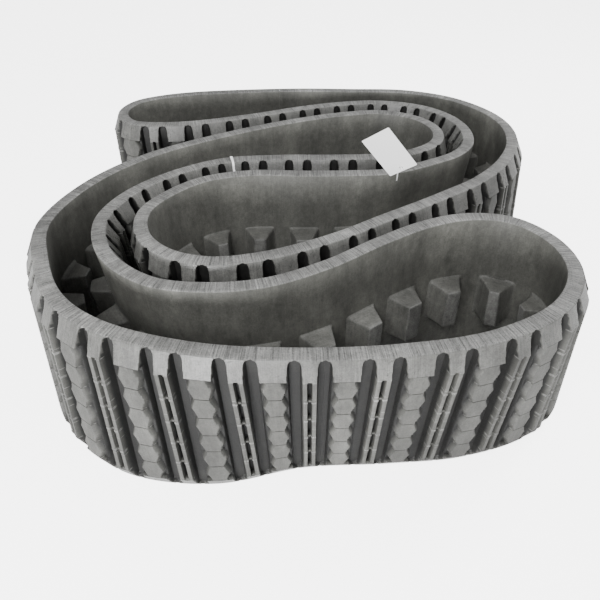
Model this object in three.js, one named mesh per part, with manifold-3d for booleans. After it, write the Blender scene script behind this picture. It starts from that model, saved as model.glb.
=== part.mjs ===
// Two endless rubber tracks, folded and nested in each other for shipping.
// Each track stands on one side edge. Units are millimetres and +Z is up.
import * as THREE from 'three';
import { mergeVertices } from 'three/addons/utils/BufferGeometryUtils.js';
import Module from 'manifold-3d';

const wasm = await Module();
wasm.setup();

// ---- Driving dimensions -------------------------------------------------

const BELT_WIDTH = 500;        // side edge to side edge, which is the height as it stands
const PITCH = 150;             // length of one pattern repeat, which has one drive lug
const PITCHES = 42;            // pattern repeats around one track
const SECTIONS = 6;            // press sections that the tread and the drive side are moulded in
const JOINT_GAP = 0.3;         // clearance between pieces that touch

const COVER = 8;               // rubber under the smooth face
const CABLE = 7;               // layer of main cables
const PLY = 4;                 // crossed fabric plies over the cables
const TREAD_BASE = 9;          // rubber under the floor of a groove
const EDGE = 18;               // solid rubber beyond the cables at each side edge

const RIM = 38;                // width of the flat side edge
const LUG_TOP = 60;            // smooth face to the top of a tread bar
const SHOULDER = 52;           // how far down the bar its sloping shoulder reaches
const NARROW_BAR = 36;         // length of a narrow bar around the track
const WIDE_BAR = 62;           // length of a wide bar around the track
const BAR_DRAFT = 3;           // how much each flank of a bar leans in

const LUG_HEIGHT = 66;         // smooth face to the tip of a drive lug
const LUG_ROOT = 86;           // length of a drive lug around the track, at its root
const LUG_TIP = 46;            // and at its tip
const LUG_SUNK = 3;            // how deep the root is moulded into the cover
const LUG_SPAN = 130;          // across the track
const LUG_SPAN_TIP = 122;

// The card leans back, turns about the upright, and rolls in its own plane, all in degrees.
const CARD = {
  width: 102, height: 150, thick: 1.2, corner: 3, hole: 10, inset: 13,
  lean: -15.5, turn: -21, roll: 38.5,
};
// The strap rises from a band around one drive lug, leaves the wall at the kink, and hooks
// through the card at the height and reach given. Its place along the lug shifts as it rises.
const STRAP = {
  width: 4, thick: 1.2, lug: 18, low: -30, high: 15, kink: 470, reach: 52, height: 544,
  rise: 14, drop: 0.4, end: 12,
};
const TIE = { width: 8, thick: 1.6, hook: 22, tail: 46, lug: 19 };

// ---- The two folded outlines --------------------------------------------
// x, y of the smooth face at the top edge, then how far the bottom edge stands off from it.
// Each outline runs with the tread on its right.

const FRONT_FOLD = [
  [-40, -748, 0, 60], [185, -735, 10, 60], [380, -694, 25, 40], [545, -600, 45, 10],
  [620, -480, 60, -10], [615, -365, 60, -20], [545, -275, 30, -45], [440, -258, 10, -50],
  [325, -292, 0, -50], [185, -375, 0, -50], [35, -480, 0, -40], [-115, -551, 0, -20],
  [-265, -570, 0, -10], [-415, -544, 10, 0], [-555, -428, 30, 10], [-616, -259, 45, 0],
  [-579, -112, 35, -20], [-467, 25, 20, -35], [-302, 126, 0, -40], [-115, 152, 0, -30],
  [72, 154, 0, -20], [220, 162, -5, -5], [340, 196, -15, 15], [425, 268, -30, 15],
  [444, 360, -40, 0], [398, 453, -30, -20], [281, 511, -10, -25], [160, 497, 0, -25],
  [20, 455, 0, -20], [-249, 330, 0, -20], [-532, 138, 0, -10], [-676, -54, -25, 0],
  [-731, -270, -50, -5], [-681, -428, -55, -20], [-595, -574, -45, -30], [-475, -665, -25, -40],
  [-265, -731, -5, -5],
];
const BACK_FOLD = [
  [-40, 758, 0, 50], [-265, 745, 0, 45], [-490, 715, 0, 35], [-606, 678, -10, 20],
  [-690, 622, -20, 10], [-715, 530, -25, 0], [-670, 448, -15, -15], [-580, 430, 0, -20],
  [-452, 442, 0, -20], [-235, 510, 0, -20], [-40, 589, 0, -20], [110, 635, 0, -12],
  [260, 654, 0, -10], [380, 634, -5, -12], [475, 586, -15, -20], [552, 495, -25, -15],
  [588, 370, -30, 0], [570, 239, -22, 8], [508, 150, -14, 17], [410, 85, -7, 8],
  [260, 16, 0, -15], [110, 2, 0, -40], [-40, 0, 0, -50], [-190, 4, 0, -50],
  [-330, -36, 5, -45], [-416, -116, 25, -25], [-466, -212, 40, 0], [-445, -322, 30, 20],
  [-370, -398, 15, 30], [-265, -428, 0, 35], [-152, -411, 0, 30], [-40, -368, 0, 20],
  [72, -308, 0, 10], [185, -232, 5, 0], [312, -150, 15, -10], [410, -82, 20, -20],
  [496, -19, 30, -35], [604, 96, 45, -40], [686, 244, 60, -20], [710, 395, 60, 5],
  [675, 528, 45, 30], [568, 662, 30, 45], [400, 739, 10, 55], [180, 752, 0, 55],
];
const FRONT_PHASE = 0.13;      // where the first narrow bar sits, in pitches along the outline
const BACK_PHASE = 0.38;

// ---- Depths through the belt, worked out from the layers ------------------

const GAP = JOINT_GAP;
const CABLES = COVER + GAP;
const PLIES = CABLES + CABLE + GAP;
const TREAD = PLIES + PLY + GAP;
const GROOVE = TREAD + TREAD_BASE;
const NARROW_SHARE = 0.5 + (NARROW_BAR - WIDE_BAR) / 2 / PITCH;
const NARROW_ROOM = PITCH * NARROW_SHARE;   // between the two grooves beside a narrow bar
const WIDE_ROOM = PITCH - NARROW_ROOM;
const REACH = 0.12;            // how far along the belt its direction is taken, in pitches

const RUBBER = new THREE.MeshStandardMaterial({ color: 0x4a4a46, roughness: 0.75, metalness: 0 });
const FABRIC = new THREE.MeshStandardMaterial({ color: 0x6b5a45, roughness: 0.9, metalness: 0 });
const STEEL = new THREE.MeshStandardMaterial({ color: 0x9a9a96, roughness: 0.4, metalness: 1 });
const PAPER = new THREE.MeshStandardMaterial({ color: 0xf4f4f2, roughness: 0.8, metalness: 0 });
const NYLON = new THREE.MeshStandardMaterial({ color: 0xf2f2ee, roughness: 0.5, metalness: 0 });

// ---- Helpers --------------------------------------------------------------

// A folded belt, as lines up its height, one at each groove. A line is a function of depth, out
// from the smooth face, and height; blend gives lines between two grooves.
function foldedBelt(fold, phase) {
  const top = new THREE.CatmullRomCurve3(fold.map(([x, y]) => new THREE.Vector3(x, y, 0)), true);
  const foot = new THREE.CatmullRomCurve3(
    fold.map(([x, y, dx, dy]) => new THREE.Vector3(x + dx, y + dy, 0)), true);
  top.arcLengthDivisions = 1500;
  const pointOn = (curve, pitch) => {
    const turn = ((pitch / PITCHES) % 1 + 1) % 1;
    return curve.getPoint(top.getUtoTmapping(turn));
  };
  const edge = (curve, pitch) => {
    const [back, ahead] = [pitch - REACH, pitch + REACH].map((place) => pointOn(curve, place));
    const along = ahead.sub(back).normalize();
    return { point: pointOn(curve, pitch), normal: new THREE.Vector3(along.y, -along.x, 0) };
  };
  const line = (pitch) => {
    const [a, b] = [edge(foot, pitch), edge(top, pitch)];
    return (depth, height) => {
      const share = height / BELT_WIDTH;
      const low = a.point.clone().addScaledVector(a.normal, depth);
      const high = b.point.clone().addScaledVector(b.normal, depth);
      return low.lerp(high, share).setZ(height);
    };
  };
  // Groove centres come in pairs around each narrow bar.
  const groove = (index) => {
    const side = index % 2 === 0 ? -1 : 1;
    return phase + Math.floor(index / 2) + side * NARROW_SHARE / 2;
  };
  const lines = Array.from({ length: 2 * PITCHES }, (_, index) => line(groove(index)));
  const grooveLine = (index) => lines[index % lines.length];
  const blend = (index, share) => (depth, height) =>
    grooveLine(index)(depth, height).lerp(grooveLine(index + 1)(depth, height), share);
  return { grooveLine, blend };
}

// Skin between rings of points; each ring is a closed outline. Ends are capped, or joined to close.
// Every four-sided patch is split from its low corner on one ring to its high corner on the next,
// so that layers laid over each other split alike and keep their clearance.
function skin(rings, closed) {
  const count = rings[0].length;
  const position = rings.flat().flatMap((p) => [p.x, p.y, p.z]);
  const index = [];
  const last = closed ? rings.length : rings.length - 1;
  for (let i = 0; i < last; i++) {
    const [a, b] = [i * count, ((i + 1) % rings.length) * count];
    for (let j = 0; j < count; j++) {
      const k = (j + 1) % count;
      if (rings[0][j].z < rings[0][k].z) {
        index.push(a + j, b + j, b + k, a + j, b + k, a + k);
      } else {
        index.push(a + j, b + j, a + k, a + k, b + j, b + k);
      }
    }
  }
  if (!closed) {
    const end = (rings.length - 1) * count;
    const flat = capOutline(rings[0]);
    for (const [a, b, c] of flat) {
      index.push(a, b, c, end + a, end + c, end + b);
    }
  }
  const geometry = new THREE.BufferGeometry();
  geometry.setAttribute('position', new THREE.Float32BufferAttribute(position, 3));
  geometry.setIndex(index);
  return outward(geometry);
}

// Triangles of a ring that stands upright, found in the plane it spans.
function capOutline(ring) {
  const across = ring.reduce((far, p) => {
    const v = p.clone().sub(ring[0]).setZ(0);
    return v.length() > far.length() ? v : far;
  }, new THREE.Vector3());
  const unit = across.normalize();
  const flat = ring.map((p) => new THREE.Vector2(p.clone().sub(ring[0]).dot(unit), p.z));
  const turned = THREE.ShapeUtils.area(flat) < 0;
  const faces = THREE.ShapeUtils.triangulateShape(flat, []);
  return turned ? faces.map(([a, b, c]) => [a, c, b]) : faces;
}

function volume(geometry) {
  const p = geometry.attributes.position;
  const [a, b, c] = [new THREE.Vector3(), new THREE.Vector3(), new THREE.Vector3()];
  let sum = 0;
  for (let i = 0; i < geometry.index.count; i += 3) {
    a.fromBufferAttribute(p, geometry.index.getX(i));
    b.fromBufferAttribute(p, geometry.index.getX(i + 1));
    c.fromBufferAttribute(p, geometry.index.getX(i + 2));
    sum += a.dot(b.cross(c)) / 6;
  }
  return sum;
}

function outward(geometry) {
  if (volume(geometry) < 0) {
    const index = Array.from(geometry.index.array);
    for (let i = 0; i < index.length; i += 3) {
      [index[i + 1], index[i + 2]] = [index[i + 2], index[i + 1]];
    }
    geometry.setIndex(index);
  }
  return geometry;
}

function solid(geometry) {
  const bare = geometry.clone();
  bare.deleteAttribute('normal');
  bare.deleteAttribute('uv');
  const merged = mergeVertices(bare, 1e-4);
  return new wasm.Manifold(new wasm.Mesh({
    numProp: 3,
    vertProperties: Float32Array.from(merged.attributes.position.array),
    triVerts: Uint32Array.from(merged.index.array),
  }));
}

function geometryOf(manifold) {
  const mesh = manifold.getMesh();
  const geometry = new THREE.BufferGeometry();
  geometry.setAttribute('position', new THREE.Float32BufferAttribute(mesh.vertProperties, 3));
  geometry.setIndex(Array.from(mesh.triVerts));
  return geometry;
}

function joined(geometries) {
  return geometryOf(geometries.map(solid).reduce((sum, next) => sum.add(next)));
}

const model = new THREE.Group();

function place(name, geometry, material, parent = model) {
  const mesh = new THREE.Mesh(geometry, material);
  mesh.name = name;
  geometry.computeVertexNormals();
  parent.add(mesh);
  return mesh;
}

// ---- Pieces of one track ----------------------------------------------------

const TOP = BELT_WIDTH;
const COVER_OUTLINE = [
  [0, 0], [0, TOP / 2], [0, TOP], [COVER, TOP], [COVER, TOP - EDGE], [COVER, EDGE], [COVER, 0],
];
const TREAD_OUTLINE = [
  [CABLES, 0], [CABLES, EDGE - GAP], [TREAD, EDGE - GAP], [TREAD, TOP - EDGE + GAP],
  [CABLES, TOP - EDGE + GAP], [CABLES, TOP], [GROOVE, TOP], [GROOVE, 0],
];

const ringAt = (line, outline) => outline.map(([depth, height]) => line(depth, height));

// The layer runs all the way around, between the two edge strips.
function layerRing(belt, inner, thickness) {
  const outline = [
    [inner, EDGE], [inner, TOP - EDGE], [inner + thickness, TOP - EDGE], [inner + thickness, EDGE],
  ];
  const rings = [];
  for (let i = 0; i < 2 * PITCHES; i++) {
    rings.push(ringAt(belt.grooveLine(i), outline));
  }
  return skin(rings, true);
}

// One press section of wall, cut back at both ends for its joint with the next.
function wallSection(belt, section, outline) {
  const steps = 2 * PITCHES / SECTIONS;
  const first = 1 + section * steps;
  const cut = GAP / PITCH;
  const rings = [ringAt(belt.blend(first, cut), outline)];
  for (let i = 1; i < steps; i++) {
    rings.push(ringAt(belt.grooveLine(first + i), outline));
  }
  rings.push(ringAt(belt.blend(first + steps - 1, 1 - cut), outline));
  return { first, steps, geometry: skin(rings, false) };
}

// A tread bar between two grooves, with a sloping shoulder at each side edge.
function treadBar(belt, index, length, room) {
  const share = (reach) => 0.5 + reach / room;
  const sunk = TREAD + TREAD_BASE / 2;
  const across = [[sunk, 0], [RIM, 0], [LUG_TOP, SHOULDER], [LUG_TOP, TOP - SHOULDER],
    [RIM, TOP], [sunk, TOP]];
  const ring = (side) => across.map(([depth, height]) => {
    const lean = depth === LUG_TOP ? BAR_DRAFT : 0;
    return belt.blend(index, share(side * (length / 2 - lean)))(depth, height);
  });
  return skin([ring(-1), ring(1)], false);
}

// A drive lug stands on the smooth face and tapers towards its tip.
function driveLug(belt, index, room) {
  const share = (reach) => 0.5 + reach / room;
  const middle = TOP / 2;
  const outline = (depth, length, span) => [[-1, -1], [1, -1], [1, 1], [-1, 1]].map(
    ([side, end]) => belt.blend(index, share(side * length / 2))(depth, middle + end * span / 2));
  return skin([
    outline(LUG_SUNK, LUG_ROOT, LUG_SPAN),
    outline(-LUG_HEIGHT, LUG_TIP, LUG_SPAN_TIP),
  ], false);
}

function track(name, fold, phase) {
  const group = new THREE.Group();
  const belt = foldedBelt(fold, phase);
  for (let section = 0; section < SECTIONS; section++) {
    const tread = wallSection(belt, section, TREAD_OUTLINE);
    const cover = wallSection(belt, section, COVER_OUTLINE);
    const bars = [];
    const lugs = [];
    for (let i = tread.first; i < tread.first + tread.steps; i++) {
      const wide = i % 2 === 1;
      bars.push(treadBar(belt, i, wide ? WIDE_BAR : NARROW_BAR, wide ? WIDE_ROOM : NARROW_ROOM));
      if (wide) {
        lugs.push(driveLug(belt, i, WIDE_ROOM));
      }
    }
    const number = section + 1;
    place(`${name}_tread_section_${number}`, joined([tread.geometry, ...bars]), RUBBER, group);
    place(`${name}_drive_section_${number}`, joined([cover.geometry, ...lugs]), RUBBER, group);
  }
  place(`${name}_cable_band`, layerRing(belt, CABLES, CABLE), STEEL, group);
  place(`${name}_fabric_plies`, layerRing(belt, PLIES, PLY), FABRIC, group);
  model.add(group);
  return belt;
}

const front = track('front', FRONT_FOLD, FRONT_PHASE);
const back = track('back', BACK_FOLD, BACK_PHASE);

// ---- The card and the two nylon ties ----------------------------------------

// Outline of a bent ribbon, laid off from one side of its path.
function ribbon(path, thick) {
  const p = path.map(([x, y]) => new THREE.Vector2(x, y));
  const normal = (i) => {
    const along = p[i + 1].clone().sub(p[i]).normalize();
    return new THREE.Vector2(-along.y, along.x);
  };
  const last = p.length - 1;
  const other = p.map((point, i) => {
    const [a, b] = [normal(Math.max(i - 1, 0)), normal(Math.min(i, last - 1))];
    return point.clone().addScaledVector(a.clone().add(b), thick / (1 + a.dot(b)));
  });
  return [...p, ...other.reverse()].map((v) => [v.x, v.y]);
}

// A ribbon standing on the belt: its outline is in depth and height, its width along the belt.
function strip(belt, lug, width, outline, along) {
  const ring = (side) => outline.map(([depth, height]) =>
    lugPoint(belt, lug, along(height) + side * width / 2, depth, height));
  return skin([ring(-1), ring(1)], false);
}

function lugPoint(belt, lug, along, depth, height) {
  return belt.blend(2 * lug + 1, 0.5 + along / WIDE_ROOM)(depth, height);
}

// Hooks over the edge of the front track and hangs down the shoulder of a wide bar.
function rimTie() {
  const slope = (LUG_TOP - RIM) / SHOULDER;
  const edge = RIM + GAP;
  const path = [[-GAP, TOP - TIE.hook], [-GAP, TOP + GAP], [edge, TOP + GAP],
    [edge + slope * TIE.tail, TOP - TIE.tail]];
  return strip(front, TIE.lug, TIE.width, ribbon(path, TIE.thick), () => 0);
}

// A band around the root of a drive lug, and a strap from it up the smooth face to the card.
function cardTie() {
  const [half, span] = [LUG_ROOT / 2 + GAP, LUG_SPAN / 2 + GAP];
  const profile = [[0, 0], [STRAP.width, 0], [STRAP.width, STRAP.thick], [0, STRAP.thick]];
  const band = [[-1, -1], [1, -1], [1, 1], [-1, 1]].map(([side, up]) =>
    profile.map(([off, out]) => lugPoint(
      back, STRAP.lug, side * (half + out), -GAP - off, TOP / 2 + up * (span + out))));
  const low = TOP / 2 + span;
  const level = STRAP.height + STRAP.thick / 2;
  const path = [[-GAP, low], [-GAP, STRAP.kink],
    [STRAP.rise - STRAP.reach, level + STRAP.drop * STRAP.rise],
    [-STRAP.end - STRAP.reach, level - STRAP.drop * STRAP.end]];
  const along = (height) => THREE.MathUtils.mapLinear(
    height, low, STRAP.height, STRAP.low, STRAP.high);
  return joined([skin(band, true),
    strip(back, STRAP.lug, STRAP.width, ribbon(path, STRAP.thick), along)]);
}

// The card hangs on the strap by its hole; local y runs up it from its lower edge.
function card() {
  const shape = new THREE.Shape();
  const [w, h, r] = [CARD.width / 2, CARD.height, CARD.corner];
  shape.moveTo(r - w, 0).lineTo(w - r, 0).absarc(w - r, r, r, -Math.PI / 2, 0);
  shape.lineTo(w, h - r).absarc(w - r, h - r, r, 0, Math.PI / 2);
  shape.lineTo(r - w, h).absarc(r - w, h - r, r, Math.PI / 2, Math.PI);
  shape.lineTo(-w, r).absarc(r - w, r, r, Math.PI, Math.PI * 1.5);
  shape.holes.push(new THREE.Path().absarc(0, CARD.inset, CARD.hole / 2, 0, 2 * Math.PI, true));
  const flat = new THREE.ExtrudeGeometry(
    shape, { depth: CARD.thick, bevelEnabled: false, curveSegments: 10 });
  flat.translate(0, 0, -CARD.thick / 2);
  const turn = new THREE.Matrix4().makeRotationZ(THREE.MathUtils.degToRad(CARD.turn));
  turn.multiply(new THREE.Matrix4().makeRotationX(THREE.MathUtils.degToRad(90 - CARD.lean)));
  turn.multiply(new THREE.Matrix4().makeRotationZ(THREE.MathUtils.degToRad(CARD.roll)));
  const hook = lugPoint(back, STRAP.lug, STRAP.high, -STRAP.reach, STRAP.height);
  const hole = new THREE.Vector3(0, CARD.inset, 0).applyMatrix4(turn);
  flat.applyMatrix4(turn).translate(...hook.sub(hole).toArray());
  return geometryOf(solid(flat));
}

place('card', card(), PAPER);
place('card_tie', cardTie(), NYLON);
place('rim_tie', rimTie(), NYLON);

// The model's origin is the middle of the floor that it covers.
const box = new THREE.Box3().setFromObject(model);
const middle = box.getCenter(new THREE.Vector3());
model.position.set(-middle.x, -middle.y, -box.min.z);

export default model;
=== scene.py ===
"""Two endless rubber tracks, folded and nested in each other, with a card on a nylon tie.

Lengths are in metres. Every belt surface is a grid over two coordinates: s, the distance along
the folded belt, and height, up from the floor edge. Depth is measured out from the smooth face.
"""
import math

import bpy
import numpy as np
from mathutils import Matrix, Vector


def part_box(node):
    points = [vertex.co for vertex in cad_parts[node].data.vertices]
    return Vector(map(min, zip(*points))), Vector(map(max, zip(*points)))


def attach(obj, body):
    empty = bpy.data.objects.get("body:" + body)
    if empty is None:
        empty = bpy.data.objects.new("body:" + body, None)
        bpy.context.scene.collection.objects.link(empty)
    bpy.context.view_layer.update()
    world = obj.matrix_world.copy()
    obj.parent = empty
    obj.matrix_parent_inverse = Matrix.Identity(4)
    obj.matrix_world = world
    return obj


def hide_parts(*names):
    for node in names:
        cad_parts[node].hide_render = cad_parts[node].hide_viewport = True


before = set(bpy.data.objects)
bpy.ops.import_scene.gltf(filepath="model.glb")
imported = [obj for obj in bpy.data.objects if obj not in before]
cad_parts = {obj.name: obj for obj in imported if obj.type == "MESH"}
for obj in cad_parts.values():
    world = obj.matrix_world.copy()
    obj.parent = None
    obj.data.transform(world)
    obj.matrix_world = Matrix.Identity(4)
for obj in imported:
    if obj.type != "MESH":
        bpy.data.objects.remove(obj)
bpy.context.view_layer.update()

# ---- Driving dimensions ------------------------------------------------------

WIDTH = 0.5              # across the belt, which is its height as it stands
PITCH = 0.15             # one repeat of the tread, with one drive lug
PITCHES = 42
SECTIONS = 6
GAP = 0.0003             # clearance between pieces that touch

COVER = 0.008            # rubber under the smooth face
CABLE = 0.007            # layer of main cables
PLY = 0.004              # crossed fabric plies over the cables
TREAD_BASE = 0.009       # rubber under the floor of a groove
EDGE = 0.018             # solid rubber beyond the cables at each side edge
CABLES = COVER + GAP     # depths at which the layers start
PLIES = CABLES + CABLE + GAP
TREAD = PLIES + PLY + GAP
GROOVE_FLOOR = TREAD + TREAD_BASE

RIM = 0.038              # width of the flat side edge
ROUND = 0.003            # rounding of the rim's two corners
ROUND_MIDDLE = ROUND * (1 - math.sqrt(0.5))   # how far in the middle of that rounding lies
BAR_TOP = 0.060
SHOULDER = 0.052         # height of the sloping shoulder at each side edge
NARROW_BAR = 0.036       # length of a narrow bar around the track
WIDE_BAR = 0.062
GROOVE_AT = (PITCH + NARROW_BAR - WIDE_BAR) / 4   # groove centre from the narrow bar's middle
GROOVE_HALF = 0.0115     # half width of the groove floor
GROOVE_END = 0.004       # rubber left at the side edge beyond the groove's round end
FLANK = 6.0              # rise over run of a bar's flank, and of a slot's

BLOCK_ROWS = 6           # hexagonal blocks up a wide bar
BLOCK_BASE = 0.046       # floor of the notches between blocks
BLOCK_INSET = 0.002      # a block's widest place, in from the bar's flank
BLOCK_SLOPE = 3.2        # rise over run of a block's sides
NOTCH = 0.010            # how far a block's sides draw in at its joints
SEAM_HALF = 0.0012       # half width of the seam between two blocks
SEAM_DEPTH = 0.0045

LINK_ROWS = 5            # slots up a narrow bar
SLOT = 0.004             # half width of a slot
SLOT_LIP = 0.001         # how far a slot's flank starts inside its half width
SLOT_DEPTH = BAR_TOP - BLOCK_BASE + 0.004
BRIDGE_HALF = 0.0035     # half height of the bridge between two slots
BRIDGE_DEPTH = 0.005
NUB = 0.001              # how far the bar stands proud beside a bridge
RAISED = 0.010           # depth of a bar's top in which seams and nubs get a painted highlight

LUG_HEIGHT = 0.066       # smooth face to the tip of a drive lug
LUG_ROOT = 0.096         # length of a drive lug around the track, at its root
LUG_TIP = 0.048
LUG_SPAN = 0.130         # across the track, at its root
LUG_SPAN_TIP = 0.122
LUG_SQUARENESS = 0.14    # power that squares a circle off into the lug's outline
LUG_SIDES = 40

# Wear is 0 in a hollow, where the rubber is painted dark as shade, and 1 where it is scuffed
# light.
RIM_WEAR = 1.0
# painted highlight on the seams and nubs of the bars
SEAM_AND_NUB_HIGHLIGHT = 0.85
LUG_TIP_WEAR = 0.75
SHOULDER_WEAR = 0.62     # no other surface has this value, so the polish is found by it
LUG_WEAR = 0.42
BAR_WEAR = 0.42
WALL_WEAR = 0.3
# painted shade: the grooves are nearly black
GROOVE_PAINTED_SHADE = 0.02

STEPS = 12               # rings in one pitch of a smooth surface
COVER_ROWS = 14          # rows up the smooth face
ARC_STEPS = 1500         # chords that an outline's length is measured with
REACH = 0.12             # how far along the belt its direction is taken, in pitches
SHARP = math.radians(32) # edges that turn more than this stay crisp
NEAR = 0.0005            # a distance too small to matter

# Smooth face at the top edge (x, y), and how far the floor edge stands off from it, in mm.
FRONT_FOLD = [
    (-40, -748, 0, 60), (185, -735, 10, 60), (380, -694, 25, 40), (545, -600, 45, 10),
    (620, -480, 60, -10), (615, -365, 60, -20), (545, -275, 30, -45), (440, -258, 10, -50),
    (325, -292, 0, -50), (185, -375, 0, -50), (35, -480, 0, -40), (-115, -551, 0, -20),
    (-265, -570, 0, -10), (-415, -544, 10, 0), (-555, -428, 30, 10), (-616, -259, 45, 0),
    (-579, -112, 35, -20), (-467, 25, 20, -35), (-302, 126, 0, -40), (-115, 152, 0, -30),
    (72, 154, 0, -20), (220, 162, -5, -5), (340, 196, -15, 15), (425, 268, -30, 15),
    (444, 360, -40, 0), (398, 453, -30, -20), (281, 511, -10, -25), (160, 497, 0, -25),
    (20, 455, 0, -20), (-249, 330, 0, -20), (-532, 138, 0, -10), (-676, -54, -25, 0),
    (-731, -270, -50, -5), (-681, -428, -55, -20), (-595, -574, -45, -30), (-475, -665, -25, -40),
    (-265, -731, -5, -5),
]
BACK_FOLD = [
    (-40, 758, 0, 50), (-265, 745, 0, 45), (-490, 715, 0, 35), (-606, 678, -10, 20),
    (-690, 622, -20, 10), (-715, 530, -25, 0), (-670, 448, -15, -15), (-580, 430, 0, -20),
    (-452, 442, 0, -20), (-235, 510, 0, -20), (-40, 589, 0, -20), (110, 635, 0, -12),
    (260, 654, 0, -10), (380, 634, -5, -12), (475, 586, -15, -20), (552, 495, -25, -15),
    (588, 370, -30, 0), (570, 239, -22, 8), (508, 150, -14, 17), (410, 85, -7, 8),
    (260, 16, 0, -15), (110, 2, 0, -40), (-40, 0, 0, -50), (-190, 4, 0, -50),
    (-330, -36, 5, -45), (-416, -116, 25, -25), (-466, -212, 40, 0), (-445, -322, 30, 20),
    (-370, -398, 15, 30), (-265, -428, 0, 35), (-152, -411, 0, 30), (-40, -368, 0, 20),
    (72, -308, 0, 10), (185, -232, 5, 0), (312, -150, 15, -10), (410, -82, 20, -20),
    (496, -19, 30, -35), (604, 96, 45, -40), (686, 244, 60, -20), (710, 395, 60, 5),
    (675, 528, 45, 30), (568, 662, 30, 45), (400, 739, 10, 55), (180, 752, 0, 55),
]
FRONT_PHASE, BACK_PHASE = 0.13, 0.38


# ---- The folded belt ---------------------------------------------------------

def spline(points, t):
    """Closed centripetal Catmull-Rom curve through points, at each t from 0 to 1."""
    count = len(points)
    place = (np.asarray(t) % 1) * count
    first = np.floor(place).astype(int)
    w = (place - first)[..., None]
    p0, p1, p2, p3 = (points[(first + k) % count] for k in (-1, 0, 1, 2))
    d0, d1, d2 = (np.sqrt(np.linalg.norm(b - a, axis=-1))[..., None]
                  for a, b in ((p0, p1), (p1, p2), (p2, p3)))
    m1 = ((p1 - p0) / d0 - (p2 - p0) / (d0 + d1) + (p2 - p1) / d1) * d1
    m2 = ((p2 - p1) / d1 - (p3 - p1) / (d1 + d2) + (p3 - p2) / d2) * d1
    return (p1 + m1 * w + (3 * (p2 - p1) - 2 * m1 - m2) * w ** 2
            + (2 * (p1 - p2) + m1 + m2) * w ** 3)


class Belt:
    """A folded belt: point(s, depth, height) gives places on it, as arrays of one shape."""

    def __init__(self, fold, phase):
        rows = np.array(fold, float) / 1000
        self.top = rows[:, :2]
        self.foot = rows[:, :2] + rows[:, 2:]
        self.phase = phase
        self.shift = np.zeros(2)
        self.steps = np.linspace(0, 1, ARC_STEPS + 1)
        laid = spline(self.top, self.steps)
        runs = np.linalg.norm(np.diff(laid, axis=0), axis=1)
        self.length = np.concatenate([[0], np.cumsum(runs)]) / runs.sum()

    def on(self, outline, pitch):
        """Places on an outline, spaced evenly by the top outline's length."""
        return spline(outline, np.interp((pitch / PITCHES) % 1, self.length, self.steps))

    def edge(self, outline, pitch, depth):
        """Places at a depth out from an outline."""
        along = self.on(outline, pitch + REACH) - self.on(outline, pitch - REACH)
        along /= np.linalg.norm(along, axis=-1, keepdims=True)
        normal = np.stack([along[..., 1], -along[..., 0]], -1)
        return self.on(outline, pitch) + normal * depth[..., None]

    def point(self, s, depth, height):
        s, depth, height = np.broadcast_arrays(s, depth, height)
        pitch = s / PITCH + self.phase
        share = (height / WIDTH)[..., None]
        flat = self.edge(self.foot, pitch, depth) * (1 - share)
        flat = flat + self.edge(self.top, pitch, depth) * share + self.shift
        return np.concatenate([flat, height[..., None]], -1)


def settle(belt, node):
    """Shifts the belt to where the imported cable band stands."""
    groove = np.arange(2 * PITCHES)
    s = groove // 2 * PITCH + np.where(groove % 2 == 0, -1, 1) * GROOVE_AT
    ring = np.concatenate([belt.point(s, CABLES + d, h) for d in (0, CABLE)
                           for h in (EDGE, WIDTH - EDGE)])
    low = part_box(node)[0]
    belt.shift = np.array([low.x, low.y]) - ring[:, :2].min(0)
    return belt


# ---- Meshes ------------------------------------------------------------------

def shell(points, wear_and_painted_light, s, closed=False):
    """One closed skin over rings of points, as (vertices, faces, wear and painted light, uv) for a
    mesh.
    """
    rings, count = points.shape[:2]
    last = rings if closed else rings - 1
    i, j = np.meshgrid(np.arange(last), np.arange(count), indexing="ij")
    after, up = (i + 1) % rings, (j + 1) % count
    quads = np.stack([i * count + j, after * count + j, after * count + up, i * count + up], -1)
    faces = [quads.reshape(-1, 4)]
    if not closed:
        faces.append(np.arange(count)[None])
        faces.append((np.arange(count)[::-1] + (rings - 1) * count)[None])
    around = np.linalg.norm(np.diff(points, axis=1, prepend=points[:, -1:]), axis=-1)
    around[:, 0] = 0
    uv = np.stack([np.broadcast_to(s[:, None], around.shape), np.cumsum(around, axis=1)], -1)
    return (points.reshape(-1, 3), faces, np.broadcast_to(wear_and_painted_light, around.shape).reshape(-1),
            uv.reshape(-1, 2))


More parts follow.
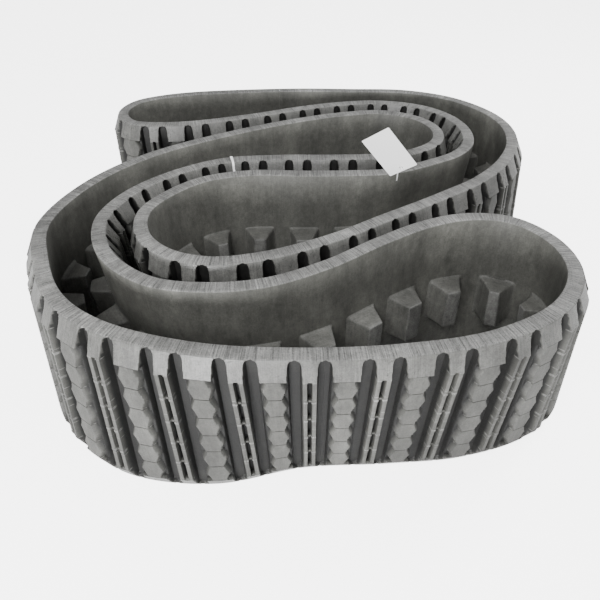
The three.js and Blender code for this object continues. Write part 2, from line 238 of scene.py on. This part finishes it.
def mesh_object(name, shells, material, body, nodes):
    """A piece made of closed skins, which rides on a body and stands for CAD nodes."""
    vertices, loops, sizes, wear_and_painted_light, uv, base = [], [], [], [], [], 0
    for points, faces, worn_and_painted_light, laid in shells:
        for group in faces:
            loops.append(group.reshape(-1) + base)
            sizes.append(np.full(len(group), group.shape[1]))
        vertices.append(points)
        wear_and_painted_light.append(worn_and_painted_light)
        uv.append(laid)
        base += len(points)
    vertices, loops, sizes = (np.concatenate(a) for a in (vertices, loops, sizes))
    mesh = bpy.data.meshes.new(name)
    mesh.vertices.add(len(vertices))
    mesh.vertices.foreach_set("co", vertices.astype(np.float32).ravel())
    mesh.loops.add(len(loops))
    mesh.loops.foreach_set("vertex_index", loops.astype(np.int32))
    mesh.polygons.add(len(sizes))
    starts = np.concatenate([[0], np.cumsum(sizes)[:-1]])
    mesh.polygons.foreach_set("loop_start", starts.astype(np.int32))
    mesh.update(calc_edges=True)
    # per vertex: wear, with painted shade in hollows and painted highlights on seams and nubs
    mesh.attributes.new("wear_and_painted_light", "FLOAT", "POINT").data.foreach_set(
        "value", np.concatenate(wear_and_painted_light).astype(np.float32))
    layer = mesh.uv_layers.new(name="belt")
    layer.data.foreach_set("uv", np.concatenate(uv)[loops].astype(np.float32).ravel())
    mesh.validate()
    mesh.polygons.foreach_set("use_smooth", np.ones(len(mesh.polygons), bool))
    mesh.set_sharp_from_angle(angle=SHARP)
    mesh.materials.append(material)
    obj = bpy.data.objects.new(name, mesh)
    bpy.context.scene.collection.objects.link(obj)
    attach(obj, body)
    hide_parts(*nodes)
    return obj


def mirrored(values, about):
    """The values and their mirror images about a middle, sorted."""
    values = np.asarray(values)
    return np.unique(np.round(np.concatenate([values, 2 * about - values]), 6))


def section_span(section):
    """Where a press section starts and ends along the belt: in the middles of two grooves."""
    start = GROOVE_AT + section * PITCH * PITCHES / SECTIONS
    return start + GAP / 2, start + PITCH * PITCHES / SECTIONS - GAP / 2


# ---- Tread ---------------------------------------------------------------------

def row_place(height, rows):
    """Distance from the nearest joint between the rows up a bar, and half a row's height."""
    row = (WIDTH - 2 * SHOULDER) / rows
    place = (height - SHOULDER) / row
    return np.abs(place - np.round(place)) * row, row / 2


def block_depth(across, height):
    """Depth of a wide bar, made of hexagonal blocks with a seam between each two."""
    seam, half = row_place(height, BLOCK_ROWS)
    half_length = WIDE_BAR / 2 - BLOCK_INSET - NOTCH * (1 - seam / half)
    block = np.clip(BLOCK_BASE + BLOCK_SLOPE * (half_length - across), BLOCK_BASE, BAR_TOP)
    return np.where(seam < SEAM_HALF, np.minimum(block, BAR_TOP - SEAM_DEPTH), block)


def link_depth(along, height):
    """Depth of a narrow bar, with a slot along its middle that bridges cross."""
    joint, _ = row_place(height, LINK_ROWS)
    bridge = joint < BRIDGE_HALF
    low = np.where(bridge, BAR_TOP - BRIDGE_DEPTH, BAR_TOP - SLOT_DEPTH)
    crest = np.where(bridge, BAR_TOP + NUB, BAR_TOP)
    return np.clip(low + FLANK * (along - SLOT + SLOT_LIP), low, crest)


def tread_wear_and_painted_light(along, height, depth, shoulder):
    """How worn the tread is, with painted light: highlights on seams and nubs, shade in grooves.
    """
    middle = np.minimum(height, WIDTH - height) >= SHOULDER
    # painted shade: a bar darkens towards the floor of the notches between its blocks
    bar = np.clip((depth - BLOCK_BASE) / (BAR_TOP - BLOCK_BASE), 0, 1) * BAR_WEAR
    on_shoulder = depth > shoulder - NEAR
    # painted shade: away from the bars and shoulders, the grooves are nearly black
    worn_and_painted_light = np.where(middle, bar, np.where(on_shoulder, SHOULDER_WEAR, GROOVE_PAINTED_SHADE))
    # painted highlight: seams and nubs on a bar's top are made light
    joint, _ = row_place(height, LINK_ROWS)
    nub = (joint < BRIDGE_HALF) & (along < GROOVE_AT) & (along > SLOT)
    seam, _ = row_place(height, BLOCK_ROWS)
    raised = depth > BAR_TOP - RAISED
    return np.where(middle & (nub | (seam < SEAM_HALF)) & raised, SEAM_AND_NUB_HIGHLIGHT, worn_and_painted_light)


def tread_depth(s, height):
    """Depth of the tread's surface, and how worn it is there, with painted shade and highlights.
    """
    along = np.abs((s + PITCH / 2) % PITCH - PITCH / 2)
    edge = np.minimum(height, WIDTH - height)
    shoulder = RIM + (BAR_TOP - RIM) * np.clip(edge / SHOULDER, 0, 1)
    bar = np.where(along < GROOVE_AT, link_depth(along, height),
                   block_depth(PITCH / 2 - along, height))
    bar = np.where(edge >= SHOULDER, bar, shoulder)
    end = GROOVE_HALF + GROOVE_END
    away = np.abs(along - GROOVE_AT)
    away = np.where(edge < end, np.hypot(away, end - edge), away)
    depth = np.minimum(bar, GROOVE_FLOOR + FLANK * np.maximum(0, away - GROOVE_HALF))
    return depth, tread_wear_and_painted_light(along, height, depth, shoulder)


# Places, in mm, where the tread's grid has a line, so that it catches every edge.
NEAR_RIM = (3, 4.5, 6.5, 9, 11.5, 14, 19, 27, 36, 45, 51.2)    # height above the side edge
BY_SEAM = (-1.3, -1.1, 0, 1.1, 1.3)                            # height from a seam's middle
BY_BRIDGE = (-3.6, -3.4, 3.4, 3.6)                             # height from a bridge's middle
ON_NARROW_BAR = (0, 2.9, 3.3, 5.2, 5.9, 10, 14.2, 15.5, 17, 18.2, 19.6, 24.5)
ON_WIDE_BAR = (31, 37, 42.4, 43.8, 45, 46.5, 48, 50, 52.5, 55, 57.5, 60, 64, 69, 75)
WIDEST_ROW = 0.012       # rows of the grid are no further apart than this


def tread_heights():
    """Heights of the grid's rows, from the top edge down."""
    rows = [np.array(NEAR_RIM) / 1000]
    for count, offsets in ((BLOCK_ROWS, BY_SEAM), (LINK_ROWS, BY_BRIDGE)):
        row = (WIDTH - 2 * SHOULDER) / count
        for joint in SHOULDER + row * np.arange(count + 1):
            rows.append(joint + np.array(offsets) / 1000)
        rows.append(SHOULDER + row * (np.arange(count) + 0.5))
    heights = mirrored(np.concatenate(rows), WIDTH / 2)
    heights = heights[(heights >= ROUND) & (heights <= WIDTH - ROUND)]
    fill = [np.linspace(a, b, max(int((b - a) / WIDEST_ROW) + 1, 1), endpoint=False)
            for a, b in zip(heights[:-1], heights[1:])]
    return np.concatenate(fill + [heights[-1:]])[::-1]


def tread_stations(start, stop):
    """Places along the belt of the grid's rings, from one end of a section to the other."""
    half = np.array(ON_NARROW_BAR + ON_WIDE_BAR) / 1000
    repeat = mirrored(half, PITCH / 2)
    stations = (repeat[None] + PITCH * np.arange(-1, PITCHES + 2)[:, None]).ravel()
    stations = np.unique(np.round(stations, 6))
    inside = stations[(stations > start + NEAR) & (stations < stop - NEAR)]
    return np.concatenate([[start], inside, [stop]])


def repeated(rows, column, count):
    """One column of an outline's rows, the same on each of count rings."""
    return np.broadcast_to([row[column] for row in rows], (count, len(rows)))


def tread_section(belt, section):
    s = tread_stations(*section_span(section))
    heights = tread_heights()
    face, worn_and_painted_light = tread_depth(s[:, None], heights[None])
    inner = [(CABLES, 0), (CABLES, EDGE - GAP), (TREAD, EDGE - GAP), (TREAD, WIDTH - EDGE + GAP),
             (CABLES, WIDTH - EDGE + GAP), (CABLES, WIDTH), (RIM - ROUND, WIDTH),
             (RIM - ROUND_MIDDLE, WIDTH - ROUND_MIDDLE)]
    outer = [(RIM - ROUND_MIDDLE, ROUND_MIDDLE), (RIM - ROUND, 0)]
    rings = len(s)
    depth = np.concatenate([repeated(inner, 0, rings), face, repeated(outer, 0, rings)], 1)
    height = np.concatenate([repeated(inner, 1, rings), np.broadcast_to(heights, face.shape),
                             repeated(outer, 1, rings)], 1)
    rim = np.full((rings, len(inner)), RIM_WEAR)
    wear_and_painted_light = np.concatenate([rim, worn_and_painted_light, rim[:, :len(outer)]], 1)
    return shell(belt.point(s[:, None], depth, height), wear_and_painted_light, s)


# ---- Drive side ----------------------------------------------------------------

def drive_cover(belt, section):
    """The smooth face of one press section, with rounded side edges."""
    start, stop = section_span(section)
    s = np.linspace(start, stop, PITCHES // SECTIONS * STEPS + 1)
    outline = ([(COVER, 0), (ROUND, 0), (ROUND_MIDDLE, ROUND_MIDDLE)]
               + [(0, h) for h in np.linspace(ROUND, WIDTH - ROUND, COVER_ROWS)]
               + [(ROUND_MIDDLE, WIDTH - ROUND_MIDDLE), (ROUND, WIDTH), (COVER, WIDTH)])
    depth, height = (np.array([row[k] for row in outline])[None] for k in (0, 1))
    on_rim = (height < ROUND) | (height > WIDTH - ROUND)
    wear_and_painted_light = np.where(on_rim, RIM_WEAR, WALL_WEAR)
    return shell(belt.point(s[:, None], depth, height), wear_and_painted_light, s)


# A drive lug's profile, in mm: how far out from the smooth face, and how much wider than its
# straight taper there, which makes the fillet at the root and the rounding of the tip.
LUG_PROFILE = [(-3, 4), (0, 4), (1.5, 2.4), (4, 1), (8, 0), (20, 0), (40, 0), (60, 0),
               (63.5, -0.4), (65.3, -1.4), (66, -3), (66, -12), (66, -23)]
LUG_TIP_FROM = 0.062     # the lug's tip, from here out, is worn lighter


def drive_lug(belt, centre):
    """A tapered block with rounded corners, a fillet at its root and a rounded tip."""
    turn = np.linspace(0, 2 * math.pi, LUG_SIDES, endpoint=False)
    square = [np.sign(f(turn)) * np.abs(f(turn)) ** LUG_SQUARENESS for f in (np.cos, np.sin)]
    out, flare = np.array(LUG_PROFILE).T / 1000
    share = np.clip(out, 0, None) / LUG_HEIGHT
    half = (LUG_ROOT + (LUG_TIP - LUG_ROOT) * share) / 2 + flare
    span = (LUG_SPAN + (LUG_SPAN_TIP - LUG_SPAN) * share) / 2 + flare
    s = centre + half[:, None] * square[0][None]
    height = WIDTH / 2 + span[:, None] * square[1][None]
    wear_and_painted_light = np.where(out > LUG_TIP_FROM, LUG_TIP_WEAR, LUG_WEAR)[:, None]
    return shell(belt.point(s, -out[:, None], height), wear_and_painted_light, centre + out)


def layer(belt, inner, thickness):
    """A layer inside the belt that runs all the way around."""
    s = np.linspace(0, PITCH * PITCHES, PITCHES * STEPS, endpoint=False)
    outline = [(inner, EDGE), (inner, WIDTH - EDGE), (inner + thickness, WIDTH - EDGE),
               (inner + thickness, EDGE)]
    depth, height = (np.array([row[k] for row in outline])[None] for k in (0, 1))
    return shell(belt.point(s[:, None], depth, height), 0.0, s, closed=True)


def build_track(name, fold, phase, materials):
    """Every piece of one track; gives its belt."""
    belt = settle(Belt(fold, phase), f"{name}_cable_band")
    body = f"{name}_track"
    lugs_in_section = PITCHES // SECTIONS
    for section in range(SECTIONS):
        number = section + 1
        mesh_object(f"{name}_tread_{number}", [tread_section(belt, section)],
                    materials["tread"], body, [f"{name}_tread_section_{number}"])
        first = section * lugs_in_section
        lugs = [drive_lug(belt, PITCH * (first + k + 0.5)) for k in range(lugs_in_section)]
        mesh_object(f"{name}_drive_{number}", [drive_cover(belt, section)] + lugs,
                    materials["drive"], body, [f"{name}_drive_section_{number}"])
    mesh_object(f"{name}_cables", [layer(belt, CABLES, CABLE)], materials["steel"], body,
                [f"{name}_cable_band"])
    mesh_object(f"{name}_plies", [layer(belt, PLIES, PLY)], materials["fabric"], body,
                [f"{name}_fabric_plies"])
    return belt


# ---- Materials -----------------------------------------------------------------

# Colours of rubber: painted shade in hollows, on faces, and where it is worn or painted with a
# highlight.
TREAD_TONES = ((0.006, 0.006, 0.0056), (0.056, 0.056, 0.051), (0.135, 0.135, 0.130))
DRIVE_TONES = ((0.012, 0.012, 0.011), (0.078, 0.078, 0.070), (0.135, 0.135, 0.130))

LINE_CONTRAST = 4.4      # of the fine marks across the rim
SPOT_CONTRAST = 1.5
DUST_CONTRAST = 1.1
DARKEST = 0.25           # the least that marks, spots and dust leave of the colour
MATT = 0.62              # roughness of clean rubber
DUST_ROUGH = 0.16        # what dust adds to it
SCUFF_SHINE = 0.2        # what scuffs take off it
POLISH = 0.3             # what the worn shoulders lose of it
WEAR_MATCH = 0.05        # wear this close to a shoulder's counts as a shoulder
RIDGES = 1.8             # height of the marks on the rim, next to the dust's
GRAIN = 0.35


class Look:
    """A material's node tree, with short calls for the nodes it needs."""

    def __init__(self, name):
        self.material = bpy.data.materials.new(name)
        self.material.use_nodes = True
        self.tree = self.material.node_tree
        self.shader = self.tree.nodes["Principled BSDF"]

    def node(self, kind, inputs=(), **settings):
        made = self.tree.nodes.new(kind)
        for key, value in settings.items():
            setattr(made, key, value)
        for key, value in dict(inputs).items():
            if isinstance(value, bpy.types.NodeSocket):
                self.tree.links.new(value, made.inputs[key])
            else:
                made.inputs[key].default_value = value
        return made

    def math(self, operation, a, b, c=0.0):
        return self.node("ShaderNodeMath", {0: a, 1: b, 2: c}, operation=operation).outputs[0]

    def plus(self, a, b):
        return self.math("ADD", a, b)

    def minus(self, a, b):
        return self.math("SUBTRACT", a, b)

    def times(self, a, b):
        return self.math("MULTIPLY", a, b)

    def scaled(self, colour, share):
        inputs = {0: colour, "Scale": share}
        return self.node("ShaderNodeVectorMath", inputs, operation="SCALE").outputs[0]

    def noise(self, scale, stretch=(1, 1, 1), coordinate="Object", detail=4.0, rough=0.55):
        laid = self.node("ShaderNodeTexCoord").outputs[coordinate]
        placed = self.node("ShaderNodeMapping", {"Vector": laid, "Scale": stretch})
        return self.node("ShaderNodeTexNoise", {
            "Vector": placed.outputs[0], "Scale": scale, "Detail": detail,
            "Roughness": rough}).outputs[0]

    def ramp(self, factor, *stops):
        """A colour ramp; a stop is a place with a grey value or a colour."""
        made = self.node("ShaderNodeValToRGB", {"Fac": factor})
        ends = made.color_ramp.elements
        while len(ends) < len(stops):
            ends.new(0.5)
        for end, (place, colour) in zip(ends, stops):
            end.position = place
            shade = colour if isinstance(colour, tuple) else (colour, colour, colour)
            end.color = (*shade, 1)
        return made.outputs[0]

    def finish(self, colour, rough, height=None, strength=0.3, distance=0.001):
        self.tree.links.new(colour, self.shader.inputs["Base Color"])
        self.tree.links.new(rough, self.shader.inputs["Roughness"])
        if height is not None:
            bump = self.node("ShaderNodeBump", {"Height": height, "Strength": strength,
                                               "Distance": distance})
            self.tree.links.new(bump.outputs[0], self.shader.inputs["Normal"])
        return self.material


def rubber_shade(look, wear_and_painted_light, on_edge, scuffs, dust, marks):
    """How much lighter or darker than its colour the rubber is, from place to place."""
    stains = look.noise(4.5, (1, 1, 0.6), detail=8.0, rough=0.7)
    speckle = look.noise(260, detail=4.0, rough=0.8)
    blotch = look.ramp(stains, (0.36, 0.7), (0.47, 0.95), (0.53, 1.02), (0.66, 1.4))
    smear = look.ramp(scuffs, (0.34, 0.72), (0.5, 1.0), (0.68, 1.35))
    lines = look.times(look.minus(marks, 0.5), look.times(on_edge, LINE_CONTRAST))
    spots = look.times(look.minus(speckle, 0.5), look.plus(wear_and_painted_light, 0.5))
    powder = look.times(look.minus(dust, 0.5), DUST_CONTRAST)
    detail = look.plus(look.plus(lines, look.times(spots, SPOT_CONTRAST)), powder)
    lit = look.math("MAXIMUM", look.plus(detail, 1.0), DARKEST)
    return look.times(look.times(blotch, smear), lit)


def rubber_roughness(look, wear_and_painted_light, scuffs, dust):
    """Matt rubber, smoother where it is scuffed and polished on the shoulders."""
    polish = look.math("COMPARE", wear_and_painted_light, SHOULDER_WEAR, WEAR_MATCH)
    dusty = look.plus(MATT, look.times(dust, DUST_ROUGH))
    scuffed = look.minus(dusty, look.times(scuffs, SCUFF_SHINE))
    return look.minus(scuffed, look.times(polish, POLISH))


def rubber_relief(look, on_edge, dust, marks):
    """Height of the fine relief: marks on the rim, grain and dust."""
    grain = look.noise(650, detail=2.0)
    ridges = look.times(marks, look.times(on_edge, RIDGES))
    return look.plus(ridges, look.plus(look.times(grain, GRAIN), dust))


def rubber(name, painted_shade, face, worn_and_painted_light):
    """Dusty rubber: painted shade in hollows, lighter where handled, with fine marks across the
    rim.
    """
    look = Look(name)
    wear_and_painted_light = look.node("ShaderNodeAttribute", attribute_name="wear_and_painted_light").outputs["Fac"]
    on_edge = look.times(wear_and_painted_light, wear_and_painted_light)
    scuffs = look.noise(13, (1, 1, 0.3), detail=8.0, rough=0.78)
    dust = look.noise(60, detail=6.0, rough=0.75)
    marks = look.noise(260, (1, 0.02, 1), coordinate="UV", detail=5.0, rough=0.75)
    # the darkest stop is painted shade for hollows; the lightest serves worn rims and painted
    # highlights
    colour = look.ramp(wear_and_painted_light, (0.0, painted_shade), (0.3, face), (1.0, worn_and_painted_light))
    shade = look.scaled(colour, rubber_shade(look, wear_and_painted_light, on_edge, scuffs, dust, marks))
    rough = rubber_roughness(look, wear_and_painted_light, scuffs, dust)
    relief = rubber_relief(look, on_edge, dust, marks)
    return look.finish(shade, rough, relief, strength=0.5, distance=0.0016)


def steel():
    """Strands of cable, side by side."""
    look = Look("cable_steel")
    strands = look.noise(260, (0.02, 1, 1), coordinate="UV")
    look.shader.inputs["Metallic"].default_value = 1.0
    rough = look.plus(0.25, look.times(strands, 0.3))
    return look.finish(look.ramp(strands, (0.3, 0.2), (0.7, 0.55)), rough, strands)


def fabric():
    """A woven ply."""
    look = Look("ply_fabric")
    warp = look.noise(500, (0.05, 1, 1), "UV")
    weft = look.noise(500, (1, 0.05, 1), "UV")
    weave = look.times(warp, weft)
    colour = look.ramp(weave, (0.1, (0.1, 0.07, 0.045)), (0.5, (0.3, 0.23, 0.16)))
    rough = look.plus(0.75, look.times(weave, 0.2))
    return look.finish(colour, rough, weave)


def pale(name, low, high, scale, roughness):
    """White card or nylon, with a faint fibre or flow pattern."""
    look = Look(name)
    fibre = look.noise(scale, (1, 1, 3), detail=5.0)
    rough = look.plus(roughness, look.times(fibre, 0.15))
    colour = look.ramp(fibre, (0.3, low), (0.7, high))
    return look.finish(colour, rough, fibre, strength=0.12, distance=0.0003)


def dress(node, material):
    """Gives a CAD node that stays in view its own material."""
    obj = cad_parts[node]
    obj.data.materials.clear()
    obj.data.materials.append(material)


# ---- Camera, light and floor ---------------------------------------------------

CAMERA_FROM_FOLD = (-0.040, -1.500, 1.283)   # in the folded outlines' own origin
CAMERA_PITCH = 41        # degrees down from level
LENS = 31.2
SEES_TO = 100            # how far the camera sees

# Each light's name, place, the point it faces, its width and its power.
LIGHTS = [
    ("key", (-1.2, -3.2, 3.6), (0, -0.2, 0.2), 2.4, 200),
    ("fill", (2.8, 1.6, 3.2), (0, 0, 0.2), 2.2, 120),
    ("low_front", (-1.6, -4.6, 0.9), (-0.3, -0.8, 0.45), 1.4, 330),
]
SKY = 0.75               # strength of the even light from all around
FLOOR_HALF = 20          # half the side of the floor
FLOOR_GLOW = 4.0         # what the floor gives off towards the camera only, to stay white


def camera(shift):
    data = bpy.data.cameras.new("camera")
    data.lens = LENS
    data.clip_end = SEES_TO
    made = bpy.data.objects.new("camera", data)
    made.location = Vector(CAMERA_FROM_FOLD) + Vector((shift[0], shift[1], 0))
    made.rotation_euler = (math.radians(90 - CAMERA_PITCH), 0, 0)
    bpy.context.scene.collection.objects.link(made)
    bpy.context.scene.camera = made


def area_light(name, place, target, size, power):
    data = bpy.data.lights.new(name, "AREA")
    data.shape = "DISK"
    data.size = size
    data.energy = power
    made = bpy.data.objects.new(name, data)
    made.location = place
    made.rotation_euler = (Vector(target) - Vector(place)).to_track_quat("-Z", "Y").to_euler()
    bpy.context.scene.collection.objects.link(made)


def floor_material():
    """Nearly white, with a faint unevenness."""
    look = Look("floor")
    tone = look.noise(0.6)
    seen = look.node("ShaderNodeLightPath").outputs["Is Camera Ray"]
    look.shader.inputs["Emission Color"].default_value = (1, 1, 1, 1)
    look.tree.links.new(look.times(seen, FLOOR_GLOW), look.shader.inputs["Emission Strength"])
    rough = look.plus(0.8, look.times(tone, 0.1))
    return look.finish(look.ramp(tone, (0.0, 0.93), (1.0, 0.96)), rough)


def pale_floor():
    mesh = bpy.data.meshes.new("floor")
    corners = [(-1, -1), (1, -1), (1, 1), (-1, 1)]
    mesh.from_pydata([(x * FLOOR_HALF, y * FLOOR_HALF, 0) for x, y in corners], [], [(0, 1, 2, 3)])
    mesh.materials.append(floor_material())
    ground = bpy.data.objects.new("floor", mesh)
    ground.location.z = -NEAR
    bpy.context.scene.collection.objects.link(ground)


def studio():
    world = bpy.data.worlds.new("studio")
    world.use_nodes = True
    world.node_tree.nodes["Background"].inputs["Color"].default_value = (1, 1, 1, 1)
    world.node_tree.nodes["Background"].inputs["Strength"].default_value = SKY
    bpy.context.scene.world = world
    for light in LIGHTS:
        area_light(*light)
    pale_floor()


# ---- The scene -----------------------------------------------------------------

looks = {
    "tread": rubber("tread_rubber", *TREAD_TONES),
    "drive": rubber("drive_rubber", *DRIVE_TONES),
    "steel": steel(),
    "fabric": fabric(),
}
front = build_track("front", FRONT_FOLD, FRONT_PHASE, looks)
build_track("back", BACK_FOLD, BACK_PHASE, looks)
dress("card", pale("card_stock", 0.82, 0.92, 900, 0.6))
nylon = pale("nylon", 0.78, 0.9, 1500, 0.35)
dress("card_tie", nylon)
dress("rim_tie", nylon)
camera(front.shift)
studio()
